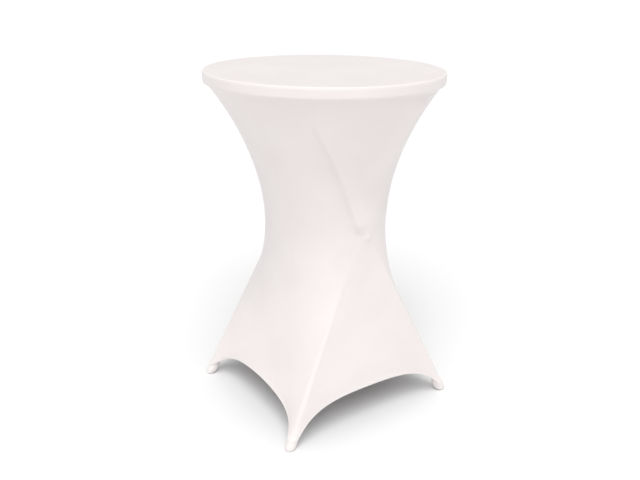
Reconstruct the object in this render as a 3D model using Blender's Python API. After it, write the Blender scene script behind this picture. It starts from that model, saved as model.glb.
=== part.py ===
"""A stretch cover on a round folding bar table.

Metres, +Z up, the origin on the floor under the middle of the table. Two leg frames cross like
scissors in the XZ plane and turn on each other about Y. The outer frame has its feet at +X and
carries the tabletop's hinge at -X. The inner frame has its feet at -X, and its top bar rests in
two clips under the tabletop at +X.
"""
from math import atan2, cos, hypot, pi, radians, sin, sqrt

import bmesh
import bpy
from mathutils import Matrix, Vector

# Driving dimensions
TOTAL_HEIGHT = 1.200        # floor to the top of the cover
COVER_DIAMETER = 0.800      # across the covered rim
BOARD_THICKNESS = 0.030
EDGE_BAND_FLAT = 0.002      # the edge band's flat top, inside its rounding
EDGE_BAND_HEIGHT = 0.034    # reaches a little below the board
EDGE_ROUNDING = 0.008       # radius of the rim's upper and lower edge
CLOTH = 0.0015              # the cover's stretch fabric
GAP = 0.0003                # between neighbouring solids

LEG_RADIUS = 0.014
BAR_RADIUS = 0.0125
STRETCHER_RADIUS = 0.011
TUBE_WALL = 0.0015
FOOT_X = 0.338              # a leg's axis where it meets the floor
PIVOT_SHARE = 0.57          # height of the scissor pivot, as a share of the total
PIVOT_HALF_WIDTH = 0.220    # half of the frames' mean width at the pivot
LEG_SPACE = 0.004           # from a leg to midway between the crossing legs
SPLAY = 0.1243              # the legs spread in Y towards the floor, per metre of height
BAR_DROP = 0.030            # a top bar's axis below the board
STRETCHER_Z = 0.245
TOP_END = 0.012             # a leg's end beyond its top bar's axis

BOLT_RADIUS = 0.004
BOLT_HEAD_RADIUS = 0.009
BOLT_HEAD_HEIGHT = 0.0055
NUT_HEIGHT = 0.007
BOLT_TAIL = 0.002
SPACER_RADIUS = 0.011
HOLE_CLEARANCE = 0.0004

BRACKET_WIDTH = 0.030
BRACKET_RADIUS = 0.020
BRACKET_FLANGE = 0.040      # half of the flange's length
FLANGE_THICKNESS = 0.003
HINGE_Y = 0.110             # brackets on the outer frame's bar
CLIP_Y = 0.095              # clips for the inner frame's bar
BEARING_CLEARANCE = 0.0005
CLIP_EXIT = (-0.51, -0.86)  # the way the inner bar leaves its clip, in X and Z
CLIP_MOUTH = 0.060
SCREW_RADIUS = 0.002
SCREW_HEAD_RADIUS = 0.004
SCREW_HEAD_HEIGHT = 0.0022
SCREW_BITE = 0.014          # the screw's length inside the board
SCREW_X = 0.031

CAP_WALL = 0.0025           # the rubber foot cap round the tube
CAP_SOLE = 0.005            # rubber under the tube's lowest edge
CAP_TOP = 0.031
POCKET_TOP = 0.036          # the cover's foot pocket
PLUG_HEAD = 0.003
PLUG_STEM = 0.012

WAIST_X = 0.175             # the skirt's half width at the pivot's height
WAIST_BAND = 0.120          # the outer legs lead the width for this far below the pivot
SKIRT_FOOT_X = 0.362        # the skirt's half width where it would meet the floor
SKIRT_TOP_INSET = 0.014     # the skirt starts this far inside the rim
FLARE = 1.8                 # how late the skirt opens out towards the rim
SPREAD = 1.25               # how late it opens out towards the feet
LEG_ROOM = 0.005            # fabric to leg tube, level with the floor
HEM_WIDTH = 0.012
HEM_THICKNESS = 0.0025
HEM_RISE_ENDS = 0.130       # top of the hem's arch between two feet of one frame
HEM_RISE_SIDES = 0.132      # top of the arch between the two frames
HEM_ROUNDNESS = 2.4         # 2 is a parabola, and more is flatter in the middle
HEM_END_SHARE = 0.12        # of a column's width, left free at each foot

# Fineness of the round shapes
TUBE_SIDES = 20
HOLE_SIDES = 12
RIM_SIDES = 64
RIM_STEPS = 2               # half of the facets round the rim's edge
ARC_STEPS = 4
SKIRT_COLUMNS = 48
SKIRT_ROWS = 16
CROWDING = 0.75             # how far the skirt's columns gather at the legs, up to 1

# What follows from them
RIM_RADIUS = COVER_DIAMETER / 2 - CLOTH - GAP
BOARD_TOP = TOTAL_HEIGHT - CLOTH - GAP
BOARD_BOTTOM = BOARD_TOP - BOARD_THICKNESS
BOARD_RADIUS = RIM_RADIUS - EDGE_ROUNDING - EDGE_BAND_FLAT - GAP
LIP = BOARD_TOP - EDGE_BAND_HEIGHT
BAR_Z = BOARD_BOTTOM - BAR_DROP
PIVOT_Z = PIVOT_SHARE * TOTAL_HEIGHT
LEAN = FOOT_X / PIVOT_Z
LEG_OFFSET = LEG_RADIUS + LEG_SPACE
BAR_X = LEAN * (BAR_Z - PIVOT_Z)
SKIRT_TOP = LIP - 2 * GAP - CLOTH
SKIRT_TOP_RADIUS = COVER_DIAMETER / 2 - SKIRT_TOP_INSET
SKIRT_REACH = LEG_RADIUS + LEG_ROOM
HEM_END = POCKET_TOP + GAP
COPLANAR_TILT = SPLAY / hypot(1, LEAN)

OUTER = "outer"
INNER = "inner"
FRAMES = {OUTER: (1, PIVOT_HALF_WIDTH + LEG_OFFSET), INNER: (-1, PIVOT_HALF_WIDTH - LEG_OFFSET)}
SIDES = {"front": -1, "rear": 1}

MATERIALS = {
    "stretch_fabric": ((0.90, 0.88, 0.87), 0.75, 0.0),
    "seam_thread": ((0.86, 0.85, 0.84), 0.65, 0.0),
    "board_laminate": ((0.55, 0.56, 0.57), 0.45, 0.0),
    "edge_plastic": ((0.20, 0.21, 0.22), 0.50, 0.0),
    "coated_steel": ((0.32, 0.33, 0.35), 0.40, 0.6),
    "zinc_steel": ((0.62, 0.62, 0.60), 0.35, 1.0),
    "black_nylon": ((0.03, 0.03, 0.03), 0.55, 0.0),
    "grey_rubber": ((0.10, 0.10, 0.10), 0.85, 0.0),
}


# Objects and materials

def clear_scene():
    for thing in list(bpy.data.objects):
        bpy.data.objects.remove(thing, do_unlink=True)


def make_material(name):
    colour, roughness, metallic = MATERIALS[name]
    material = bpy.data.materials.get(name) or bpy.data.materials.new(name)
    material.use_nodes = True
    shader = material.node_tree.nodes["Principled BSDF"]
    shader.inputs["Base Color"].default_value = (*colour, 1.0)
    shader.inputs["Roughness"].default_value = roughness
    shader.inputs["Metallic"].default_value = metallic
    return material


def add_object(name, shape, material, parent):
    """Turns a bmesh into a named object with one material, under a joint's empty."""
    bmesh.ops.recalc_face_normals(shape, faces=shape.faces)
    mesh = bpy.data.meshes.new(name)
    shape.to_mesh(mesh)
    shape.free()
    mesh.shade_smooth()
    mesh.set_sharp_from_angle(angle=radians(35))
    thing = bpy.data.objects.new(name, mesh)
    bpy.context.scene.collection.objects.link(thing)
    if material:
        mesh.materials.append(make_material(material))
    if parent:
        thing.parent = parent
        thing.matrix_parent_inverse = Matrix.Translation(-parent.location)
    return thing


def add_axis(name, place):
    empty = bpy.data.objects.new(name, None)
    empty.location = place
    bpy.context.scene.collection.objects.link(empty)
    return empty


def add_cutter(name, shape):
    cutter = add_object(name, shape, None, None)
    cutter.hide_render = True
    cutter.display_type = "WIRE"
    return cutter


def combine(target, cutter, operation="DIFFERENCE"):
    step = target.modifiers.new(cutter.name, "BOOLEAN")
    step.operation = operation
    step.solver = "EXACT"
    step.object = cutter


# Shapes

def sweep_loops(loops, closed):
    """Joins rings of the same length with quads. Closed: the last ring meets the first."""
    shape = bmesh.new()
    rings = [[shape.verts.new(point) for point in loop] for loop in loops]
    pairs = list(zip(rings, rings[1:]))
    if closed:
        pairs.append((rings[-1], rings[0]))
    for low, high in pairs:
        for i in range(len(low)):
            j = (i + 1) % len(low)
            shape.faces.new((low[i], low[j], high[j], high[i]))
    if not closed:
        shape.faces.new(rings[0])
        shape.faces.new(rings[-1])
    return shape


def turned(profile, sides, base=(0, 0, 0), axis=(0, 0, 1)):
    """Turns a closed profile of (radius, along) pairs round an axis, as a ring."""
    turn = Vector((0, 0, 1)).rotation_difference(Vector(axis)).to_matrix()
    loops = []
    for radius, along in profile:
        angles = [2 * pi * i / sides for i in range(sides)]
        loops.append([Vector(base) + turn @ Vector((radius * cos(a), radius * sin(a), along))
                      for a in angles])
    return loops


def ring(profile, sides, base=(0, 0, 0), axis=(0, 0, 1)):
    return sweep_loops(turned(profile, sides, base, axis), closed=True)


def solid(profile, sides, base=(0, 0, 0), axis=(0, 0, 1)):
    """Like ring, for a profile whose two ends are closed by flat faces."""
    return sweep_loops(turned(profile, sides, base, axis), closed=False)


def rod(start, end, radius, sides=TUBE_SIDES):
    length = (Vector(end) - Vector(start)).length
    return solid([(radius, 0), (radius, length)], sides, start, Vector(end) - Vector(start))


def tube(start, end, radius, sides=TUBE_SIDES):
    length = (Vector(end) - Vector(start)).length
    bore = radius - TUBE_WALL
    profile = [(radius, 0), (radius, length), (bore, length), (bore, 0)]
    return ring(profile, sides, start, Vector(end) - Vector(start))


def extrusion(outline, y, width):
    """A closed outline in X and Z, carried along Y."""
    front = [Vector((x, y - width / 2, z)) for x, z in outline]
    back = [Vector((x, y + width / 2, z)) for x, z in outline]
    return sweep_loops([front, back], closed=False)


def arc(centre, radius, first, last, steps):
    """Points in a plane, from one angle to another in degrees."""
    angles = [radians(first + (last - first) * i / steps) for i in range(steps + 1)]
    return [(centre[0] + radius * cos(a), centre[1] + radius * sin(a)) for a in angles]


def keep_between(shape, low, high):
    """Cuts a shape level at two heights and closes the cuts."""
    for height, side in ((low, -1), (high, 1)):
        every = shape.verts[:] + shape.edges[:] + shape.faces[:]
        cut = bmesh.ops.bisect_plane(shape, geom=every, plane_co=(0, 0, height),
                                     plane_no=(0, 0, side), clear_outer=True)
        rim = [piece for piece in cut["geom_cut"] if isinstance(piece, bmesh.types.BMEdge)]
        bmesh.ops.contextual_create(shape, geom=rim)
    return shape


# Where the legs are

def leg_point(frame, side, height):
    """A point on a leg's axis."""
    facing, width = FRAMES[frame]
    drop = PIVOT_Z - height
    return Vector((facing * LEAN * drop, side * (width + SPLAY * drop), height))


def leg_direction(frame, side):
    return (leg_point(frame, side, 1) - leg_point(frame, side, 0)).normalized()


def leg_end(frame, side):
    return leg_point(frame, side, BAR_Z) + TOP_END * leg_direction(frame, side)


def leg_start(frame, side):
    """The tube's lower end, cut square, stands clear of the sole by its tilted edge."""
    upright = leg_direction(frame, side).z
    edge = LEG_RADIUS * sqrt(1 - upright * upright)
    return leg_point(frame, side, CLOTH + GAP + CAP_SOLE + edge)


def foot_column(frame, side, radius, low, high):
    """A slanting column round a leg, cut level at its foot and its top."""
    column = rod(leg_point(frame, side, -0.1), leg_point(frame, side, 0.2), radius)
    return keep_between(column, low, high)


# The tabletop

def rim_path(offset):
    """The rim's outline from the top edge round to below the lip, offset outwards."""
    across = RIM_RADIUS - EDGE_ROUNDING
    reach = EDGE_ROUNDING + offset
    top = arc((across, BOARD_TOP - EDGE_ROUNDING), reach, 90, 0, 2 * RIM_STEPS)
    bottom = arc((across, LIP + EDGE_ROUNDING), reach, 0, -90, 2 * RIM_STEPS)
    return top, bottom


def add_tabletop(axis):
    board = solid([(BOARD_RADIUS, BOARD_BOTTOM), (BOARD_RADIUS, BOARD_TOP)], RIM_SIDES)
    board = add_object("tabletop_board", board, "board_laminate", axis)
    top, bottom = rim_path(0)
    inside = BOARD_RADIUS + GAP
    profile = [(inside, BOARD_TOP)] + top + bottom + [(inside, LIP)]
    add_object("tabletop_edge_band", ring(profile, RIM_SIDES), "edge_plastic", axis)
    return board


def bracket_outline(x):
    """A flange against the board, and a round body about a top bar."""
    top = BOARD_BOTTOM - GAP
    under = top - FLANGE_THICKNESS
    body = arc((x, BAR_Z), BRACKET_RADIUS, 0, -180, 3 * ARC_STEPS)
    left = [(x - BRACKET_RADIUS, under), (x - BRACKET_FLANGE, under), (x - BRACKET_FLANGE, top)]
    right = [(x + BRACKET_FLANGE, top), (x + BRACKET_FLANGE, under), (x + BRACKET_RADIUS, under)]
    return body + left + right


def screw_places():
    """Each screw's X and Y: two through every bracket's flange."""
    brackets = [(-BAR_X, side * HINGE_Y) for side in SIDES.values()]
    brackets += [(BAR_X, side * CLIP_Y) for side in SIDES.values()]
    return [(x + way * SCREW_X, y) for x, y in brackets for way in (-1, 1)]


def screw_profile():
    under = BOARD_BOTTOM - 2 * GAP - FLANGE_THICKNESS
    crown = under - SCREW_HEAD_HEIGHT
    return [(SCREW_HEAD_RADIUS * 0.6, crown), (SCREW_HEAD_RADIUS, crown + SCREW_HEAD_HEIGHT / 2),
            (SCREW_HEAD_RADIUS, under), (SCREW_RADIUS, under),
            (SCREW_RADIUS, BOARD_BOTTOM + SCREW_BITE)]


def many(shape_of, places):
    """Several copies of a shape, as separate solids in one mesh."""
    whole = bmesh.new()
    for place in places:
        part = shape_of(place)
        copy = bpy.data.meshes.new("copy")
        part.to_mesh(copy)
        part.free()
        whole.from_mesh(copy)
        bpy.data.meshes.remove(copy)
    return whole


def add_screws(axis):
    places = screw_places()
    for number, place in enumerate(places, 1):
        screw = solid(screw_profile(), HOLE_SIDES, (*place, 0))
        add_object(f"bracket_screw_{number}", screw, "zinc_steel", axis)
    hole = SCREW_RADIUS + HOLE_CLEARANCE
    low = BAR_Z
    high = BOARD_BOTTOM + SCREW_BITE + GAP
    holes = many(lambda at: rod((*at, low), (*at, high), hole, HOLE_SIDES), places)
    return add_cutter("screw_holes", holes)


def add_brackets(axis, screw_holes):
    bearing = BAR_RADIUS + BEARING_CLEARANCE
    for side_name, side in SIDES.items():
        y = side * HINGE_Y
        bracket = add_object("hinge_bracket_" + side_name,
                             extrusion(bracket_outline(-BAR_X), y, BRACKET_WIDTH),
                             "black_nylon", axis)
        ends = [(-BAR_X, y + way * BRACKET_WIDTH, BAR_Z) for way in (-1, 1)]
        combine(bracket, add_cutter("bearing_" + side_name, rod(*ends, bearing)))
        combine(bracket, screw_holes)
        y = side * CLIP_Y
        clip = add_object("rest_clip_" + side_name,
                          extrusion(bracket_outline(BAR_X), y, BRACKET_WIDTH),
                          "black_nylon", axis)
        combine(clip, add_cutter("clip_mouth_" + side_name,
                                 extrusion(clip_slot(bearing), y, 2 * BRACKET_WIDTH)))
        combine(clip, screw_holes)


def clip_slot(radius):
    """The inner bar's seat, open along the way in which the bar leaves."""
    out = Vector(CLIP_EXIT).normalized()
    turn = atan2(out.y, out.x) * 180 / pi
    seat = arc((BAR_X, BAR_Z), radius, turn + 90, turn + 270, 3 * ARC_STEPS)
    away = (BAR_X + CLIP_MOUTH * out.x, BAR_Z + CLIP_MOUTH * out.y)
    return seat + arc(away, radius, turn - 90, turn + 90, 3 * ARC_STEPS)


# The leg frames

def add_legs(frame, parent, bolt_holes):
    for side_name, side in SIDES.items():
        leg = tube(leg_start(frame, side), leg_end(frame, side), LEG_RADIUS)
        leg = add_object(f"{frame}_leg_{side_name}", leg, "coated_steel", parent)
        combine(leg, bolt_holes)
        add_top_plug(frame, side_name, side, parent)
        add_foot_cap(frame, side_name, side, parent)
        add_foot_pocket(frame, side_name, side, parent)


def add_crossbars(frame, parent):
    """The top bar and the stretcher, cut to fit round the legs that they are welded to."""
    notches = []
    for side_name, side in SIDES.items():
        notch = rod(leg_point(frame, side, 0), leg_end(frame, side) + leg_direction(frame, side),
                    LEG_RADIUS + GAP)
        notches.append(add_cutter(f"{frame}_notch_{side_name}", notch))
    for name, height, radius in (("top_bar", BAR_Z, BAR_RADIUS),
                                 ("stretcher", STRETCHER_Z, STRETCHER_RADIUS)):
        ends = [leg_point(frame, side, height) for side in SIDES.values()]
        bar = add_object(f"{frame}_{name}", tube(*ends, radius), "coated_steel", parent)
        for notch in notches:
            combine(bar, notch)


def add_top_plug(frame, side_name, side, parent):
    bore = LEG_RADIUS - TUBE_WALL - GAP
    profile = [(bore, -PLUG_STEM), (bore, GAP), (LEG_RADIUS, GAP),
               (LEG_RADIUS, GAP + PLUG_HEAD / 2), (LEG_RADIUS * 0.8, GAP + PLUG_HEAD)]
    plug = solid(profile, TUBE_SIDES, leg_end(frame, side), leg_direction(frame, side))
    add_object(f"{frame}_top_plug_{side_name}", plug, "black_nylon", parent)


def add_foot_cap(frame, side_name, side, parent):
    cap = foot_column(frame, side, LEG_RADIUS + CAP_WALL, CLOTH + GAP, CAP_TOP)
    cap = add_object(f"{frame}_foot_cap_{side_name}", cap, "grey_rubber", parent)
    start = leg_start(frame, side) - GAP * leg_direction(frame, side)
    socket = rod(start, leg_point(frame, side, 2 * CAP_TOP), LEG_RADIUS + GAP)
    combine(cap, add_cutter(f"{frame}_socket_{side_name}", socket))


def add_foot_pocket(frame, side_name, side, parent):
    inside = LEG_RADIUS + CAP_WALL + GAP
    pocket = foot_column(frame, side, inside + CLOTH, 0, POCKET_TOP)
    pocket = add_object(f"{frame}_foot_pocket_{side_name}", pocket, "stretch_fabric", parent)
    hollow = foot_column(frame, side, inside, CLOTH, 2 * POCKET_TOP)
    combine(pocket, add_cutter(f"{frame}_pocket_hollow_{side_name}", hollow))


def add_bolt_holes():
    width = PIVOT_HALF_WIDTH + 3 * LEG_OFFSET
    hole = rod((0, -width, PIVOT_Z), (0, width, PIVOT_Z), BOLT_RADIUS + HOLE_CLEARANCE, HOLE_SIDES)
    return add_cutter("bolt_holes", hole)


def add_pivots():
    """A bolt, a spacer between the tubes and a nut on each side, all held by the outer frame."""
    surface = LEG_RADIUS * hypot(1, COPLANAR_TILT)
    outer = PIVOT_HALF_WIDTH + LEG_OFFSET
    inner = PIVOT_HALF_WIDTH - LEG_OFFSET
    head = outer + surface + BOLT_HEAD_RADIUS * COPLANAR_TILT + GAP
    nut = inner - surface - BOLT_HEAD_RADIUS * COPLANAR_TILT - GAP
    spacer_room = surface + SPACER_RADIUS * COPLANAR_TILT + GAP
    hole = BOLT_RADIUS + HOLE_CLEARANCE
    for side_name, side in SIDES.items():
        inwards = (0, -side, 0)
        length = head - nut + NUT_HEIGHT + BOLT_TAIL
        profile = [(BOLT_HEAD_RADIUS * 0.5, -BOLT_HEAD_HEIGHT),
                   (BOLT_HEAD_RADIUS * 0.85, -BOLT_HEAD_HEIGHT * 0.75),
                   (BOLT_HEAD_RADIUS, -BOLT_HEAD_HEIGHT * 0.35), (BOLT_HEAD_RADIUS, 0),
                   (BOLT_RADIUS, 0), (BOLT_RADIUS, length)]
        bolt = solid(profile, HOLE_SIDES, (0, side * head, PIVOT_Z), inwards)
        add_object("pivot_bolt_" + side_name, bolt, "zinc_steel", None)
        start = outer - spacer_room
        end = inner + spacer_room
        profile = [(SPACER_RADIUS, 0), (SPACER_RADIUS, start - end), (hole, start - end), (hole, 0)]
        spacer = ring(profile, HOLE_SIDES, (0, side * start, PIVOT_Z), inwards)
        add_object("pivot_spacer_" + side_name, spacer, "black_nylon", None)
        profile = [(BOLT_HEAD_RADIUS, 0), (BOLT_HEAD_RADIUS, NUT_HEIGHT)]
        block = solid(profile, 6, (0, side * nut, PIVOT_Z), inwards)
        block = add_object("pivot_nut_" + side_name, block, "zinc_steel", None)
        drill = rod((0, side * (nut + NUT_HEIGHT), PIVOT_Z),
                    (0, side * (nut - 2 * NUT_HEIGHT), PIVOT_Z), hole, HOLE_SIDES)
        combine(block, add_cutter("nut_hole_" + side_name, drill))


# The cover

def add_cover_top(axis):
    """The top panel runs to the middle of the rim's upper rounding, and the rim band goes on."""
    outer_top, outer_bottom = rim_path(GAP + CLOTH)
    inner_top, inner_bottom = rim_path(GAP)
    half = RIM_STEPS
    panel = [(0.02, inner_top[0][1])] + inner_top[:half] + outer_top[:half][::-1]
    panel += [(0.02, outer_top[0][1])]
    panel = solid_of_revolution(panel)
    add_object("cover_top_panel", panel, "stretch_fabric", axis)
    under_in = (SKIRT_TOP_RADIUS - 2 * CLOTH, inner_bottom[-1][1])
    under_out = (SKIRT_TOP_RADIUS - 2 * CLOTH, outer_bottom[-1][1])
    band = inner_top[half + 1:] + inner_bottom + [under_in, under_out]
    band += outer_bottom[::-1] + outer_top[half + 1:][::-1]
    add_object("cover_rim_band", ring(band, RIM_SIDES), "stretch_fabric", axis)
    before, after = inner_top[half - 1], inner_top[half + 1]
    seam = [before, inner_top[half], after, outer_top[half + 1], outer_top[half],
            outer_top[half - 1]]
    seam = narrowed(seam, GAP)
    add_object("cover_top_seam", ring(seam, RIM_SIDES), "seam_thread", axis)


def narrowed(seam, gap):
    """Pulls the six-point seam profile in at both its ends, to clear the panels beside it."""
    points = [Vector(point) for point in seam]
    for end, middle in ((0, 1), (2, 1), (3, 4), (5, 4)):
        points[end] += (points[middle] - points[end]).normalized() * gap
    return [tuple(point) for point in points]


def solid_of_revolution(profile):
    """A profile that starts and ends beside the axis; both ends become flat faces."""
    return sweep_loops(turned(profile, RIM_SIDES), closed=False)


def skirt_width(height, facing):
    """The skirt's half width in Y, on the +X or -X side: snug round the leg there."""
    half, power = skirt_length(height), skirt_power(height)
    frame = OUTER if facing * (PIVOT_Z - height) >= 0 else INNER
    leg = leg_point(frame, 1, height)
    widest = base_width(height)
    for step in range(2 * ARC_STEPS + 1):
        angle = pi / 2 * step / (2 * ARC_STEPS)
        x = abs(leg.x) + SKIRT_REACH * cos(angle)
        y = leg.y + SKIRT_REACH * sin(angle)
        if x < half:
            widest = max(widest, y / (1 - (x / half) ** power) ** (1 / power))
    return widest


def base_width(height):
    """Clear of the pivot bolts at the waist, and opening to the rim's circle above."""
    surface = LEG_RADIUS * hypot(1, COPLANAR_TILT) + BOLT_HEAD_RADIUS * COPLANAR_TILT
    waist = PIVOT_HALF_WIDTH + LEG_OFFSET + surface + BOLT_HEAD_HEIGHT + 3 * GAP + CLOTH
    rise = max(0, (height - PIVOT_Z) / (SKIRT_TOP - PIVOT_Z))
    drop = min(WAIST_BAND, max(0, PIVOT_Z - height))
    return waist + (SKIRT_TOP_RADIUS - waist) * rise ** FLARE + SPLAY * drop


def skirt_length(height):
    """The skirt's half width in X."""
    if height > PIVOT_Z:
        rise = (height - PIVOT_Z) / (SKIRT_TOP - PIVOT_Z)
        return WAIST_X + (SKIRT_TOP_RADIUS - WAIST_X) * rise ** FLARE
    drop = (PIVOT_Z - height) / PIVOT_Z
    return WAIST_X + (SKIRT_FOOT_X - WAIST_X) * drop ** SPREAD


def skirt_power(height):
    """2 is an ellipse, as at the rim; near the feet the section is a rounded rectangle."""
    if height > PIVOT_Z:
        return 2.4 - 0.4 * (height - PIVOT_Z) / (SKIRT_TOP - PIVOT_Z)
    return 2.4 + 9.6 * ((PIVOT_Z - height) / PIVOT_Z) ** 1.5


def skirt_angles(first, last, steps):
    """Even steps round the skirt, drawn together near the four legs."""
    even = [first + (last - first) * i / steps for i in range(steps + 1)]
    return [angle + CROWDING * sin(4 * angle) / 4 for angle in even]


def skirt_point(angle, height, depth):
    """A point of the skirt; depth is measured inwards from its outer surface."""
    half, power = skirt_length(height), skirt_power(height)
    share = min(1, max(0, 0.5 + 2 * cos(angle)))
    width = share * skirt_width(height, 1) + (1 - share) * skirt_width(height, -1)
    reach = (abs(cos(angle)) ** power + abs(sin(angle)) ** power) ** (1 / power)
    x = (half - depth) * cos(angle) / reach
    y = (width - depth) * sin(angle) / reach
    return Vector((x, y, height))


def hem_height(angle):
    """The arched lower edge, lowest at the four feet."""
    along, across = sorted((abs(cos(angle)), abs(sin(angle))))
    rise = HEM_RISE_ENDS if abs(cos(angle)) > abs(sin(angle)) else HEM_RISE_SIDES
    return rise - (rise - HEM_END) * (along / across) ** HEM_ROUNDNESS


def add_skirt():
    angles = skirt_angles(0, 2 * pi, SKIRT_COLUMNS)[:-1]
    loops = []
    for depth, rows in ((0, range(SKIRT_ROWS + 1)), (CLOTH, range(SKIRT_ROWS, -1, -1))):
        for row in rows:
            loop = []
            for angle in angles:
                low = hem_height(angle) + HEM_WIDTH
                height = SKIRT_TOP + (low - SKIRT_TOP) * row / SKIRT_ROWS
                loop.append(skirt_point(angle, height, depth))
            loops.append(loop)
    add_object("cover_skirt", sweep_loops(loops, closed=True), "stretch_fabric", None)


def add_hem(name, middle, parent):
    """A folded strip below the skirt, from one foot's pocket to the next."""
    loops = []
    for angle in skirt_angles(middle - pi / 4, middle + pi / 4, SKIRT_COLUMNS // 4):
        low = hem_height(angle)
        high = low + HEM_WIDTH - GAP
        outside = CLOTH - HEM_THICKNESS
        loops.append([skirt_point(angle, high, outside), skirt_point(angle, low, outside),
                      skirt_point(angle, low, CLOTH), skirt_point(angle, high, CLOTH)])
    for end, beside in ((0, 1), (-1, -2)):
        loops[end] = [a.lerp(b, HEM_END_SHARE) for a, b in zip(loops[end], loops[beside])]
    add_object(name, sweep_loops(loops, closed=False), "stretch_fabric", parent)


def build():
    clear_scene()
    fold_axis = add_axis("leg_fold_axis", (0, 0, PIVOT_Z))
    tilt_axis = add_axis("top_tilt_axis", (-BAR_X, 0, BAR_Z))
    bolt_holes = add_bolt_holes()
    for frame, parent in ((OUTER, None), (INNER, fold_axis)):
        add_legs(frame, parent, bolt_holes)
        add_crossbars(frame, parent)
    add_pivots()
    board = add_tabletop(tilt_axis)
    screw_holes = add_screws(tilt_axis)
    combine(board, screw_holes)
    add_brackets(tilt_axis, screw_holes)
    add_cover_top(tilt_axis)
    add_skirt()
    add_hem("hem_right", 0, None)
    add_hem("hem_rear", pi / 2, None)
    add_hem("hem_left", pi, fold_axis)
    add_hem("hem_front", -pi / 2, None)


build()
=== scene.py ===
# %% [markdown]
# # A stretch cover on a folding bar table
#
# The object is a round bar table, 1.20 m high and 0.80 m across, under an elastic cover. The
# cover's top panel lies on the board, its rim band grips the edge, and its skirt is pulled down
# to four pockets round the feet. Nothing holds the skirt out between the rim and the feet, so
# it draws in to a narrow waist, and it shows the crossed legs only where it is pulled over them.
# The lesson loads a finished CAD model of the table and of the cover's rough shape, lights it,
# and then makes each piece of the cover as cloth, with its seams, hems and stitches.

# %% Load the CAD frame
from math import cos, hypot, pi, radians, sin

import bpy
import numpy as np
from mathutils import Matrix, Vector


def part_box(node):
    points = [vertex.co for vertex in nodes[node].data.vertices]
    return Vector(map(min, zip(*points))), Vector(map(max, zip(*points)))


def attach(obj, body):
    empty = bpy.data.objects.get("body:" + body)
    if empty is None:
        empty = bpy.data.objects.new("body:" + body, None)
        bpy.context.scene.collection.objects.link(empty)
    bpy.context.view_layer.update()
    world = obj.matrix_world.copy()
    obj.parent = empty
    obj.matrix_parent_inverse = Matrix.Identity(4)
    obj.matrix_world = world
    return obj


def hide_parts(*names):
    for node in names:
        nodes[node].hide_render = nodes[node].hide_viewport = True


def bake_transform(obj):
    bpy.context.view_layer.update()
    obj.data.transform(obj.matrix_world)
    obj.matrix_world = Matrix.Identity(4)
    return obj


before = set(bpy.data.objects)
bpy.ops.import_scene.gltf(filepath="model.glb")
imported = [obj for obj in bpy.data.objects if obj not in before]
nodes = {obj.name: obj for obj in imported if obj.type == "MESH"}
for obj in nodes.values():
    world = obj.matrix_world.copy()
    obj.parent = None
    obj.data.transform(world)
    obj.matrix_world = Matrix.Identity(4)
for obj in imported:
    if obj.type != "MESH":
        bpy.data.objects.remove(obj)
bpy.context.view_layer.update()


# %% [markdown]
# ## The studio
#
# The cover is white on white, so its shape is told only by soft shade. A large pale floor and
# an even sky fill the shade from all round. A broad key light comes from high in front, so that
# the cloth under the rim, which looks down, is a little darker than the rest. A weak light from
# low on the right keeps that side open, and one from almost straight above lifts the top. All
# three are sun lamps with a wide angle: their light is the same all over the floor, and their
# shadows are soft.

# %% Floor
FLOOR_RADIUS = 60.0


def deselect():
    """Operators act on all that is selected, so each new piece starts from nothing selected."""
    bpy.ops.object.select_all(action="DESELECT")


deselect()
bpy.ops.mesh.primitive_circle_add(vertices=96, radius=FLOOR_RADIUS, fill_type="NGON")
floor = bpy.context.object
floor.name = "studio_floor"
print("floor radius:", FLOOR_RADIUS, "m")

# %% Lamps


def add_lamp(name, turn, height, strength, width):
    """A broad distant light. Its turn goes round from +X and its height is above the floor."""
    deselect()
    bpy.ops.object.light_add(type="SUN")
    lamp = bpy.context.object
    lamp.name = name
    lamp.data.energy = strength
    lamp.data.angle = radians(width)
    turn, height = radians(turn), radians(height)
    towards = Vector((cos(turn) * cos(height), sin(turn) * cos(height), sin(height)))
    lamp.rotation_euler = towards.to_track_quat("Z", "Y").to_euler()


add_lamp("key_lamp", 230, 57, 1.78, 40)
add_lamp("right_lamp", 325, 25, 0.12, 40)
add_lamp("top_lamp", 230, 84, 0.60, 40)

# %% Camera
CAMERA_PLACE = (-1.3335, -1.8086, 1.489)
CAMERA_TURN = radians(-36.18)   # clockwise from +Y
CAMERA_TILT = radians(68.18)    # from straight down
CAMERA_ROLL = radians(0.63)
CAMERA_LENS = 37.4              # mm

deselect()
bpy.ops.object.camera_add()
camera = bpy.context.object
camera.name = "studio_camera"
camera.matrix_world = (Matrix.Translation(CAMERA_PLACE) @ Matrix.Rotation(CAMERA_TURN, 4, "Z")
                       @ Matrix.Rotation(CAMERA_TILT, 4, "X")
                       @ Matrix.Rotation(CAMERA_ROLL, 4, "Z"))
camera.data.lens = CAMERA_LENS
camera.data.clip_end = 200.0    # beyond the floor's far edge
bpy.context.scene.camera = camera
bpy.context.scene.view_settings.view_transform = "Standard"
print("camera distance:", round(Vector(CAMERA_PLACE).length, 3), "m")


# %% [markdown]
# ## Materials
#
# Each finish is a small node tree round one Principled shader. A pattern drives the colour,
# the roughness and a bump, and whatever is the same all over is set on the shader's sockets.
# Cloth reads its own UV map, which is in metres along the cloth, so that the knit follows the
# stretch. Hard parts read Object coordinates, which are in metres too.

# %% Material helpers
WAVE_PERIOD = 0.314159   # a Wave texture of scale 1 repeats every 0.314 m


def linear(hex_colour):
    """An sRGB hex colour as the linear colour that shaders use."""
    colour = []
    for start in (1, 3, 5):
        channel = int(hex_colour[start:start + 2], 16) / 255
        low = channel / 12.92
        colour.append(low if channel <= 0.04045 else ((channel + 0.055) / 1.055) ** 2.4)
    return (*colour, 1.0)


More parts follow.
